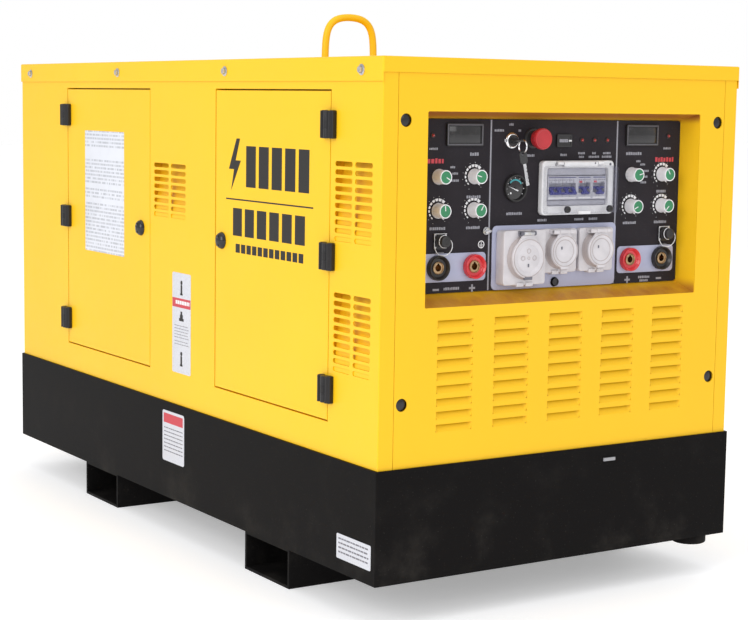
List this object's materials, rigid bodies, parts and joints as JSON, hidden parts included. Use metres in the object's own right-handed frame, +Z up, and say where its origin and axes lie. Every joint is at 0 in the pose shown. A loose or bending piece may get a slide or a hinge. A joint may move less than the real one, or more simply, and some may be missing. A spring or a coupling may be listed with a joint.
{
  "type": "engine driven welder",
  "caption": "Enclosed diesel engine driven welding generator on a skid base with fork pockets, side doors and a recessed control panel.",
  "frame": {"origin": "middle of the footprint at the underside of the fork pockets", "axes": "+X along the length towards the control panel, +Y across, +Z up"},
  "size_m": [1.708, 0.875, 1.146],
  "materials": {
    "canopy_yellow": "gloss powder coat",
    "base_black": "satin textured powder coat",
    "frame_grey": "satin",
    "tank_black": "satin",
    "zinc_steel": "zinc plated",
    "hinge_black": "fine textured",
    "panel_black": "matt overlay",
    "plate_grey": "satin",
    "instrument_black": "moulded",
    "socket_insulation": "moulded",
    "contact_brass": "machined",
    "switch_plastic": "moulded",
    "key_steel": "nickel plated",
    "stop_red": "moulded",
    "connector_black": "moulded",
    "breaker_frame": "moulded",
    "smoky_window": "clear moulded",
    "outlet_grey": "moulded",
    "engine_iron": "engine enamel",
    "generator_iron": "enamel",
    "shaft_steel": "machined",
    "fan_plastic": "moulded",
    "belt_rubber": "ribbed",
    "radiator_aluminium": "brazed fins",
    "muffler_steel": "heat-proof paint",
    "cleaner_black": "moulded",
    "battery_case": "moulded",
    "mount_rubber": "moulded",
    "lock_black": "moulded",
    "knob_grey": "moulded",
    "lever_blue": "moulded"
  },
  "bodies": {
    "set_body": {"base_tray": "base_black", "fork_pockets": "base_black", "engine_rails": "frame_grey", "fuel_tank": "tank_black", "inner_frame": "canopy_yellow", "lifting_eye": "canopy_yellow", "roof_cover": "canopy_yellow", "fasteners": "zinc_steel", "side_panel_left": "canopy_yellow", "side_panel_right": "canopy_yellow", "vent_baffles": "canopy_yellow", "hinge_brackets": "hinge_black", "control_end_panel": "canopy_yellow", "control_recess": "canopy_yellow", "radiator_end_panel": "canopy_yellow", "control_panel": "panel_black", "panel_plates": "plate_grey", "panel_instruments": "instrument_black", "weld_sockets": "socket_insulation", "weld_contacts": "contact_brass", "switch_bodies": "switch_plastic", "remote_sockets": "connector_black", "breaker_box": "breaker_frame", "breakers": "breaker_frame", "outlet_bodies": "outlet_grey", "engine_block": "engine_iron", "generator_stator": "generator_iron", "fan_belt": "belt_rubber", "radiator": "radiator_aluminium", "exhaust_muffler": "muffler_steel", "air_cleaner": "cleaner_black", "battery": "battery_case", "engine_mounts": "mount_rubber"},
    "door_left_1": {"door_left_1": "canopy_yellow"},
    "door_left_2": {"door_left_2": "canopy_yellow"},
    "door_right_1": {"door_right_1": "canopy_yellow"},
    "door_right_2": {"door_right_2": "canopy_yellow"},
    "door_lock_left_1": {"door_lock_left_1": "lock_black"},
    "door_lock_left_2": {"door_lock_left_2": "lock_black"},
    "door_lock_right_1": {"door_lock_right_1": "lock_black"},
    "door_lock_right_2": {"door_lock_right_2": "lock_black"},
    "knob_a1_upper": {"knob_a1_upper": "knob_grey"},
    "knob_a2_upper": {"knob_a2_upper": "knob_grey"},
    "knob_a1_lower": {"knob_a1_lower": "knob_grey"},
    "knob_a2_lower": {"knob_a2_lower": "knob_grey"},
    "knob_b1_upper": {"knob_b1_upper": "knob_grey"},
    "knob_b2_upper": {"knob_b2_upper": "knob_grey"},
    "knob_b1_lower": {"knob_b1_lower": "knob_grey"},
    "knob_b2_lower": {"knob_b2_lower": "knob_grey"},
    "ignition_key": {"ignition_key": "key_steel"},
    "emergency_button": {"emergency_button": "stop_red"},
    "breaker_window": {"breaker_window": "smoky_window"},
    "breaker_lever_1": {"breaker_lever_1": "lever_blue"},
    "breaker_lever_2": {"breaker_lever_2": "lever_blue"},
    "breaker_lever_3": {"breaker_lever_3": "lever_blue"},
    "outlet_cover_1": {"outlet_cover_1": "outlet_grey"},
    "outlet_cover_2": {"outlet_cover_2": "outlet_grey"},
    "outlet_cover_3": {"outlet_cover_3": "outlet_grey"},
    "drive_line": {"drive_line": "shaft_steel"},
    "cooling_fan": {"cooling_fan": "fan_plastic"}
  },
  "joints": [
    {"name": "door_left_1_swing", "type": "hinge", "parent": "set_body", "child": "door_left_1", "pos_m": [-0.5525, -0.43, 0.664], "axis": [0, 0, -1], "range_deg": [0, 110]},
    {"name": "door_lock_left_1_turn", "type": "hinge", "parent": "door_left_1", "child": "door_lock_left_1", "pos_m": [-0.141, -0.4225, 0.664], "axis": [0, 1, 0], "range_deg": [0, 90]},
    {"name": "door_left_2_swing", "type": "hinge", "parent": "set_body", "child": "door_left_2", "pos_m": [0.6695, -0.43, 0.664], "axis": [0, 0, 1], "range_deg": [0, 110]},
    {"name": "door_lock_left_2_turn", "type": "hinge", "parent": "door_left_2", "child": "door_lock_left_2", "pos_m": [0.245, -0.4225, 0.664], "axis": [0, -1, 0], "range_deg": [0, 90]},
    {"name": "door_right_1_swing", "type": "hinge", "parent": "set_body", "child": "door_right_1", "pos_m": [-0.5525, 0.43, 0.664], "axis": [0, 0, 1], "range_deg": [0, 110]},
    {"name": "door_lock_right_1_turn", "type": "hinge", "parent": "door_right_1", "child": "door_lock_right_1", "pos_m": [-0.141, 0.4225, 0.664], "axis": [0, 1, 0], "range_deg": [0, 90]},
    {"name": "door_right_2_swing", "type": "hinge", "parent": "set_body", "child": "door_right_2", "pos_m": [0.6695, 0.43, 0.664], "axis": [0, 0, -1], "range_deg": [0, 110]},
    {"name": "door_lock_right_2_turn", "type": "hinge", "parent": "door_right_2", "child": "door_lock_right_2", "pos_m": [0.245, 0.4225, 0.664], "axis": [0, -1, 0], "range_deg": [0, 90]},
    {"name": "knob_a1_upper_turn", "type": "hinge", "parent": "set_body", "child": "knob_a1_upper", "pos_m": [0.809, -0.27, 0.817], "axis": [1, 0, 0], "range_deg": [0, 60]},
    {"name": "knob_a2_upper_turn", "type": "hinge", "parent": "set_body", "child": "knob_a2_upper", "pos_m": [0.809, -0.19, 0.817], "axis": [1, 0, 0], "range_deg": [-225, 75]},
    {"name": "knob_a1_lower_turn", "type": "hinge", "parent": "set_body", "child": "knob_a1_lower", "pos_m": [0.809, -0.27, 0.755], "axis": [1, 0, 0], "range_deg": [-155, 145]},
    {"name": "knob_a2_lower_turn", "type": "hinge", "parent": "set_body", "child": "knob_a2_lower", "pos_m": [0.809, -0.19, 0.755], "axis": [1, 0, 0], "range_deg": [-120, 180]},
    {"name": "knob_b1_upper_turn", "type": "hinge", "parent": "set_body", "child": "knob_b1_upper", "pos_m": [0.809, 0.19, 0.817], "axis": [1, 0, 0], "range_deg": [-50, 50]},
    {"name": "knob_b2_upper_turn", "type": "hinge", "parent": "set_body", "child": "knob_b2_upper", "pos_m": [0.809, 0.27, 0.817], "axis": [1, 0, 0], "range_deg": [-180, 120]},
    {"name": "knob_b1_lower_turn", "type": "hinge", "parent": "set_body", "child": "knob_b1_lower", "pos_m": [0.809, 0.19, 0.755], "axis": [1, 0, 0], "range_deg": [-265, 35]},
    {"name": "knob_b2_lower_turn", "type": "hinge", "parent": "set_body", "child": "knob_b2_lower", "pos_m": [0.809, 0.27, 0.755], "axis": [1, 0, 0], "range_deg": [-285, 15]},
    {"name": "ignition_key_turn", "type": "hinge", "parent": "set_body", "child": "ignition_key", "pos_m": [0.799, -0.106, 0.883], "axis": [1, 0, 0], "range_deg": [-90, 45]},
    {"name": "emergency_button_push", "type": "slide", "parent": "set_body", "child": "emergency_button", "axis": [-1, 0, 0], "range_m": [0, 0.005], "stiffness_N_per_m": 2000},
    {"name": "breaker_window_lift", "type": "hinge", "parent": "set_body", "child": "breaker_window", "pos_m": [0.816, 0.0485, 0.8405], "axis": [0, -1, 0], "range_deg": [0, 110]},
    {"name": "breaker_lever_1_toggle", "type": "hinge", "parent": "set_body", "child": "breaker_lever_1", "pos_m": [0.803, 0.0125, 0.793], "axis": [0, -1, 0], "range_deg": [0, 80]},
    {"name": "breaker_lever_2_toggle", "type": "hinge", "parent": "set_body", "child": "breaker_lever_2", "pos_m": [0.803, 0.0665, 0.793], "axis": [0, -1, 0], "range_deg": [0, 80]},
    {"name": "breaker_lever_3_toggle", "type": "hinge", "parent": "set_body", "child": "breaker_lever_3", "pos_m": [0.803, 0.1025, 0.793], "axis": [0, -1, 0], "range_deg": [0, 80]},
    {"name": "outlet_cover_1_lift", "type": "hinge", "parent": "set_body", "child": "outlet_cover_1", "pos_m": [0.8355, -0.0875, 0.711], "axis": [0, -1, 0], "range_deg": [0, 110], "stiffness_Nm_per_rad": 0.05},
    {"name": "outlet_cover_2_lift", "type": "hinge", "parent": "set_body", "child": "outlet_cover_2", "pos_m": [0.8275, 0.005, 0.711], "axis": [0, -1, 0], "range_deg": [0, 110], "stiffness_Nm_per_rad": 0.05},
    {"name": "outlet_cover_3_lift", "type": "hinge", "parent": "set_body", "child": "outlet_cover_3", "pos_m": [0.8275, 0.095, 0.711], "axis": [0, -1, 0], "range_deg": [0, 110], "stiffness_Nm_per_rad": 0.05},
    {"name": "drive_line_spin", "type": "hinge", "parent": "set_body", "child": "drive_line", "pos_m": [0, 0, 0.48], "axis": [1, 0, 0], "continuous": true},
    {"name": "cooling_fan_spin", "type": "hinge", "parent": "set_body", "child": "cooling_fan", "pos_m": [-0.71, 0, 0.61], "axis": [1, 0, 0], "continuous": true}
  ],
  "couplings": [
    {"joint": "cooling_fan_spin", "follows": "drive_line_spin", "ratio": 1.2}
  ]
}
